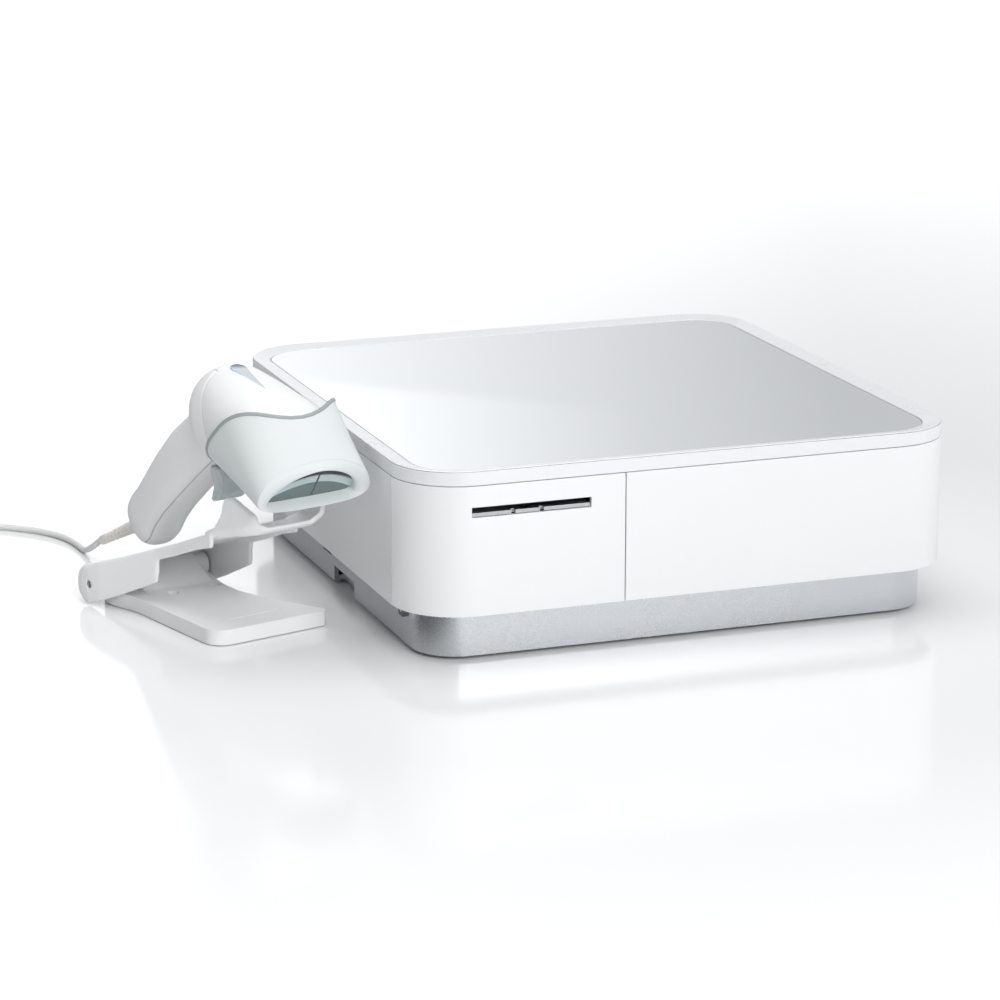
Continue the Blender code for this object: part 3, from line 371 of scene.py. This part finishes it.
# How each CAD piece's edges are rounded, in mm; EDGE is for all the others.
EDGE = 0.2
EDGE_ANGLE = math.radians(28.0)        # a sharper edge than this is rounded
EDGE_MM = {"body_shell": 0.35, "printer_cover": 0.35, "drawer_front": 0.35,
           "top_rim": 0.5, "plinth": 0.5, "stand_base": 1.2,
           "tear_bar": 0.15, "indicator_lens": 0.25}
MOULDED = {"stand_arm": 0.8, "trigger": 0.5}   # rounded all over; mesh size
MOULD_PASSES = 9
FLAT = {"deck_plate"}         # one flat face, so its reflections stay true
NO_BEVEL = {"ejector_spring", "scanner_cable", "platen_gear", "idler_gear",
            "motor_pinion", "nose_boot", "head_cover", "scanner_grip"}


def shade_smooth(mesh):
    for polygon in mesh.polygons:
        polygon.use_smooth = True


def soften(obj, edge_mm):
    """Weld the facets, round the edges a little and shade them smooth."""
    shade_smooth(obj.data)
    weld = obj.modifiers.new("weld", "WELD")
    weld.merge_threshold = 1e-6
    if edge_mm > 0:
        bevel = obj.modifiers.new("edge", "BEVEL")
        bevel.width = edge_mm * MM
        bevel.segments = 3
        bevel.limit_method = "ANGLE"
        bevel.angle_limit = EDGE_ANGLE
        bevel.use_clamp_overlap = True
        bevel.miter_outer = "MITER_ARC"
    normals = obj.modifiers.new("normals", "WEIGHTED_NORMAL")
    normals.keep_sharp = True
    normals.weight = 80


def mould(obj, size_mm, passes):
    """Round every edge of a moulded piece the way soft tooling leaves it."""
    grow = obj.modifiers.new("grow", "REMESH")
    grow.mode = "VOXEL"
    grow.voxel_size = size_mm * MM
    grow.use_smooth_shade = True
    smooth = obj.modifiers.new("smooth", "SMOOTH")
    smooth.factor = 0.5
    smooth.iterations = passes


def dress_cad():
    """Give every CAD piece its material and its rounded edges."""
    for name, obj in NODES.items():
        obj.data.materials.clear()
        obj.data.materials.append(LOOKS[name].material)
        layer = obj.data.attributes.get("custom_normal")
        if layer is not None:
            obj.data.attributes.remove(layer)
        if name in MOULDED:
            mould(obj, MOULDED[name], MOULD_PASSES)
        elif name not in FLAT:
            soften(obj, 0.0 if name in NO_BEVEL else EDGE_MM.get(name, EDGE))


# --- building new pieces ----------------------------------------------------
def put(name, data):
    """A new object in the scene that holds a mesh, a light or a camera."""
    obj = bpy.data.objects.new(name, data)
    bpy.context.scene.collection.objects.link(obj)
    return obj


def new_mesh(name, bm):
    """A mesh made from a bmesh, which is freed."""
    mesh = bpy.data.meshes.new(name)
    bm.to_mesh(mesh)
    bm.free()
    return mesh


def scanner_piece(name, bm, look, levels=0):
    """A new piece of the scanner, drawn in mm in the stand's frame."""
    bmesh.ops.recalc_face_normals(bm, faces=bm.faces)
    bmesh.ops.transform(bm, matrix=STAND @ Matrix.Scale(MM, 4), verts=bm.verts)
    mesh = new_mesh(name, bm)
    shade_smooth(mesh)
    mesh.materials.append(look.material)
    obj = put(name, mesh)
    if levels:
        skin = obj.modifiers.new("skin", "SUBSURF")
        skin.levels = skin.render_levels = levels
    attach(obj, "scanner")
    return obj


def loft(rings, loop=False, bm=None):
    """Skin over rings of points: capped, or joined last to first as a loop."""
    if bm is None:
        bm = bmesh.new()
    made = [[bm.verts.new(p) for p in ring] for ring in rings]
    pairs = list(zip(made, made[1:])) + ([(made[-1], made[0])] if loop else [])
    count = len(rings[0])
    for a, b in pairs:
        for i in range(count):
            j = (i + 1) % count
            bm.faces.new((a[i], a[j], b[j], b[i]))
    if not loop:
        bm.faces.new(list(reversed(made[0])))
        bm.faces.new(made[-1])
    return bm


def around(count):
    """Evenly spaced angles around a full turn."""
    return [2 * math.pi * k / count for k in range(count)]


RING = 40                     # points in a section


def section(top, bottom, half, widest=0.5, round_top=2.3, round_low=2.3,
            push=None):
    """Closed section across the scanner between a top and a bottom (y, z).

    It is a superellipse, half wide each way, at its widest the share widest
    of the way up, with powers round_top above and round_low below.  push
    gives a move (y, z) from the share across and the sine up.
    """
    ring = []
    rise = (top[0] - bottom[0], top[1] - bottom[1])
    for angle in around(RING):
        c, s = math.cos(angle), math.sin(angle)
        power = round_top if s >= 0 else round_low
        x = half * math.copysign(abs(c) ** (2 / power), c)
        up = abs(s) ** (2 / power)
        level = widest + up * (1 - widest) if s >= 0 else widest - up * widest
        y = bottom[0] + rise[0] * level
        z = bottom[1] + rise[1] * level
        if push is not None:
            dy, dz = push(x / half, s)
            y, z = y + dy, z + dz
        ring.append((x, y, z))
    return ring


def inset(ring, amount):
    """The same ring drawn in toward its middle by amount."""
    middle = sum((Vector(p) for p in ring), Vector()) / len(ring)
    result = []
    for point in ring:
        arm = Vector(point) - middle
        result.append(tuple(middle + arm * (1 - amount / arm.length)))
    return result


def between(first, second, t):
    return [tuple(Vector(a).lerp(Vector(b), t)) for a, b in zip(first, second)]


HEAD_LEAN = math.radians(32.0)
FORWARD = (-math.cos(HEAD_LEAN), -math.sin(HEAD_LEAN))     # y, z down the head


def moved(ring, amount):
    """The same ring pushed forward along the head's axis."""
    return [(x, y + FORWARD[0] * amount, z + FORWARD[1] * amount)
            for x, y, z in ring]


BOOT_REACH = 16.6             # how far the rear edge runs forward on top
BOOT_SPREAD = 0.79            # over this share of the half width


def boot_edge(side, s):
    """Rear edge of the boot: runs forward over the middle of the top."""
    reach = 0.0
    if s > 0:
        reach = BOOT_REACH * math.exp(-(side / BOOT_SPREAD) ** 2) * s
    return FORWARD[0] * reach, FORWARD[1] * reach


BOOT_REAR = section((-57.1, 130.3), (-13.9, 87.1), 33.0, 0.52, 3.8, 1.9,
                    boot_edge)
BOOT_MOUTH = section((-84.5, 102.6), (-78.8, 77.4), 33.2, 0.28, 2.04, 2.7)
BOOT_OPENING = section((-86.4, 97.5), (-75.5, 80.4), 25.6, 0.17, 1.75, 4.5)
BOOT_WALL = 2.6
THROAT = 9.0                  # how deep the opening's straight wall goes
BEAD_INSET, BEAD_R, BEAD_SIDES = 0.6, 1.25, 8


def build_boot():
    """Soft boot: outer skin, groove and lip round the mouth, throat, inside."""
    sides = [between(BOOT_REAR, BOOT_MOUTH, t)
             for t in (0.0, 0.04, 0.35, 0.7, 0.93, 1.0)]
    face = [moved(between(BOOT_MOUTH, BOOT_OPENING, t), push)
            for t, push in ((0.05, -0.9), (0.14, 0.5), (0.5, 1.2), (0.92, 0.6))]
    throat = [moved(BOOT_OPENING, -1.0), moved(BOOT_OPENING, -THROAT)]
    inside = [inset(between(BOOT_REAR, BOOT_MOUTH, t), BOOT_WALL)
              for t in (0.62, 0.35, 0.05, 0.01)]
    boot = scanner_piece("boot_skin", loft(sides + face + throat + inside, True),
                         BOOT, 2)
    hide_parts("nose_boot")


def build_bead():
    """Darker moulded bead along the boot's rear edge."""
    path = [Vector(p) for p in inset(BOOT_REAR, BEAD_INSET)]
    rings = []
    for k, here in enumerate(path):
        ahead = (path[(k + 1) % RING] - path[k - 1]).normalized()
        side = ahead.cross(Vector((0, *FORWARD))).normalized()
        up = side.cross(ahead)
        rings.append([here + side * BEAD_R * math.cos(a)
                      + up * BEAD_R * math.sin(a) for a in around(BEAD_SIDES)])
    scanner_piece("boot_bead", loft(rings, True), BOOT_EDGE, 1)


HEAD_SEAM = ((-6.0, 137.0), (-24.0, 83.0))     # where the head meets the grip
HEAD_WALL = 2.2


def build_head():
    """White head cover, from its seam with the grip to inside the boot."""
    cover = [section(*HEAD_SEAM, 23.6, 0.5),
             section((-7.2, 136.6), (-24.4, 83.1), 23.9, 0.5),
             section((-20, 134.3), (-27, 83.4), 25.6, 0.52),
             section((-34, 130.9), (-30, 84.0), 26.8, 0.54),
             section((-50, 126.6), (-38, 84.6), 27.8, 0.52, 2.5),
             section((-63, 122.2), (-46, 84.6), 28.4, 0.50, 2.7, 2.4),
             section((-72, 118.4), (-54, 86.0), 28.4, 0.50, 2.7, 2.4)]
    hollow = [inset(ring, HEAD_WALL) for ring in reversed(cover)]
    head = scanner_piece("head_skin", loft(cover + hollow, True), SCANNER_WHITE,
                         2)
    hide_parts("head_cover")


# The handle's sections: y and z of the middle, half width, half depth, lean.
HANDLE = [(-4, 108, 15.5, 17.0, 22), (10, 98, 15.8, 17.5, 32),
          (28, 85.0, 16.0, 16.8, 42), (45, 70.6, 15.6, 15.6, 46),
          (59, 57.6, 15.0, 14.2, 48), (68, 48.4, 14.6, 14.0, 50),
          (75, 40.8, 14.4, 15.6, 51), (79.5, 36.2, 13.4, 14.8, 51),
          (82.0, 33.6, 10.4, 11.4, 51)]
GRIP_MESH, GRIP_PASSES = 1.1, 14


def build_grip():
    """Rear dome and handle, grown into one smooth moulding."""
    seam = section(*HEAD_SEAM, 23.4)
    dome = [section((11.0, 118), (11.0, 106), 8.0),
            section((9.5, 126), (10.5, 98), 15.0),
            section((6.0, 132.2), (7.0, 91), 19.8),
            section((1.0, 135.6), (-4.0, 86), 22.4),
            [(x, y + 0.5, z) for x, y, z in seam]]
    handle = []
    for y, z, half, depth, lean in HANDLE:
        a = math.radians(lean)
        dy, dz = depth * math.cos(a), depth * math.sin(a)
        handle.append(section((y + dy, z + dz), (y - dy, z - dz), half, 0.5,
                              2.5, 2.5))
    both = loft(handle, bm=loft(dome))
    grip = scanner_piece("grip_skin", both, GRIP_WHITE)
    mould(grip, GRIP_MESH, GRIP_PASSES)
    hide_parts("scanner_grip")


RELIEF_START, RELIEF_END = (86.5, 34.0, 4.0), (133, 13.2, 2.6)     # y, z, radius
RELIEF_STEPS, RELIEF_SIDES = 110, 20
RELIEF_LEAN = math.radians(24.0)
RIBS, RIB_DEPTH = 11, 1.2
RIBBED = (0.08, 0.9)          # share of the length that has ribs


def build_relief():
    """Ribbed relief where the cable leaves the handle."""
    rings = []
    for k in range(RELIEF_STEPS + 1):
        t = k / RELIEF_STEPS
        y, z, r = (a + (b - a) * t for a, b in zip(RELIEF_START, RELIEF_END))
        if RIBBED[0] < t < RIBBED[1]:
            r -= RIB_DEPTH * (0.5 + 0.5 * math.cos(2 * math.pi * RIBS * t))
        rings.append([(r * math.cos(a), y + r * math.sin(a) * math.sin(RELIEF_LEAN),
                       z + r * math.sin(a) * math.cos(RELIEF_LEAN))
                      for a in around(RELIEF_SIDES)])
    relief = scanner_piece("relief_ribbed", loft(rings), BEIGE)
    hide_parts("strain_relief")


# --- floor, sky, lamps and camera --------------------------------------------
FLOOR_HALF = 9.0              # metres; the numbers of this section are too
GLOW_FROM, GLOW_TO, GLOW = 0.34, 1.6, 0.55     # distances from the middle
# x over which the floor's painted shade, seen only in reflections, fades in
REFLECTED_SHADE_FROM, REFLECTED_SHADE_TO = -0.13, -0.19              # left of the middle


def build_floor():
    """Pale glossy floor that fades to white away from the object."""
    bm = bmesh.new()
    bmesh.ops.create_grid(bm, x_segments=1, y_segments=1, size=FLOOR_HALF)
    floor = put("floor", new_mesh("floor", bm))
    floor.location = COUNTER.translation
    n = surface("studio_floor", (0.93, 0.935, 0.94), 0.12, tint=0.0,
                depth=0.0, coat=0.0, vary=0.01, patch=2.0)
    away = n.tree.nodes.new("ShaderNodeVectorMath")
    away.operation = "LENGTH"
    n.link(n.where, away.inputs[0])
    glow = n.ramp(away.outputs["Value"], GLOW_FROM, GLOW_TO, 0.0, GLOW)
    n.shade(Emission_Color=(1, 1, 1), Emission_Strength=glow)
    # painted shade on the left of the floor, seen only in the reflections of shiny
    # pieces, so that the plinth's left side mirrors a shadowed floor
    rays = n.tree.nodes.new("ShaderNodeLightPath")
    left = n.ramp(n.split(n.where)[0], REFLECTED_SHADE_FROM, REFLECTED_SHADE_TO)
    n.recolour(n.product(rays.outputs["Is Glossy Ray"], left), (0.10, 0.105, 0.115))
    floor.data.materials.append(n.material)


# The sky's numbers are strengths, and shares of a unit vector's x, y and z.
SKY_MIDDLE, SKY_TILT = 0.46, 0.18      # strength, and how much the left is darker
SOFTBOX_BACK = (0.5, 0.7)              # y over which the softbox fades in
SOFTBOX_TOP = (0.36, 0.30)             # z over which it fades in from the top
SOFTBOX_LEFT = (0.0, 0.12)             # x over which it fades in from the left
SOFTBOX_RIGHT, PANEL_RIGHT = (0.42, 0.26), (0.37, 0.28)
PANEL_EDGE, PANEL_SLOPE, PANEL_BLUR = 0.1985, 0.098, 0.0008
SOFTBOX_POWER, PANEL_POWER = 0.9, 0.5


def build_sky():
    """Dim studio, darker on the left, with a softbox behind the object.

    The softbox has a brighter panel with a sharp sloping lower edge, which
    the deck mirrors as a slanting line.
    """
    world = bpy.data.worlds.new("studio")
    bpy.context.scene.world = world
    world.use_nodes = True
    n = Nodes(world.node_tree)
    x, y, z = n.split(n.add("ShaderNodeTexCoord").outputs["Generated"])
    room = n.ramp(x, -1.0, 1.0, SKY_MIDDLE - SKY_TILT, SKY_MIDDLE + SKY_TILT)
    behind = n.product(n.ramp(y, *SOFTBOX_BACK), n.ramp(z, *SOFTBOX_TOP))
    wide = n.product(n.ramp(x, *SOFTBOX_LEFT), n.ramp(x, *SOFTBOX_RIGHT))
    near = n.product(n.ramp(x, *SOFTBOX_LEFT), n.ramp(x, *PANEL_RIGHT))
    height = n.maths("SUBTRACT", z, n.product(x, PANEL_SLOPE))
    above = n.ramp(height, PANEL_EDGE - PANEL_BLUR, PANEL_EDGE + PANEL_BLUR)
    box = n.maths("ADD", n.product(wide, SOFTBOX_POWER),
                  n.product(near, above, PANEL_POWER))
    back = n.tree.nodes["Background"]
    n.feed(back.inputs["Color"], (0.97, 0.985, 1.0))
    n.feed(back.inputs["Strength"], n.maths("ADD", room, n.product(behind, box)))


def face_along(obj, place, direction):
    """Put a lamp or camera at a place above the counter, facing a direction."""
    obj.location = COUNTER @ Vector(place)
    obj.rotation_euler = direction.to_track_quat("-Z", "Y").to_euler()


def lamp(name, kind, place, aim, watts):
    """A lamp at a place, aimed at another, both above the counter."""
    light = bpy.data.lights.new(name, kind)
    light.energy = watts
    way = COUNTER @ Vector(aim) - COUNTER @ Vector(place)
    face_along(put(name, light), place, way)
    return light


def softbox(name, place, aim, size, watts):
    light = lamp(name, "AREA", place, aim, watts)
    light.shape = "RECTANGLE"
    light.size, light.size_y = size


def spot(name, place, aim, cone, watts):
    light = lamp(name, "SPOT", place, aim, watts)
    light.spot_size = math.radians(cone)
    light.spot_blend = 1.0
    light.shadow_soft_size = 0.25


def build_stage():
    build_floor()
    build_sky()
    softbox("key_front", (0.25, -2.2, 1.3), (0, 0, 0.05), (1.6, 1.0), 27)
    softbox("top", (-0.1, 0.1, 1.9), (0, 0, 0), (1.6, 1.6), 15)
    spot("stand_fill", (-0.40, -1.8, 1.2), (-0.27, 0, 0.05), 12, 42)


CAMERA_PLACE = (-0.6889, -1.7605, 0.5412)
CAMERA_YAW, CAMERA_PITCH = math.radians(19.99), math.radians(14.97)
CAMERA_LENS, CAMERA_SENSOR = 129.4, 36         # mm


def build_camera():
    camera = bpy.data.cameras.new("camera")
    camera.lens = CAMERA_LENS
    camera.sensor_width = CAMERA_SENSOR
    obj = put("camera", camera)
    ahead = Vector((math.sin(CAMERA_YAW) * math.cos(CAMERA_PITCH),
                    math.cos(CAMERA_YAW) * math.cos(CAMERA_PITCH),
                    -math.sin(CAMERA_PITCH)))
    face_along(obj, CAMERA_PLACE, ahead)
    bpy.context.scene.camera = obj


dress_cad()
build_boot()
build_bead()
build_head()
build_grip()
build_relief()
build_stage()
build_camera()
bpy.context.scene.view_settings.view_transform = "Standard"
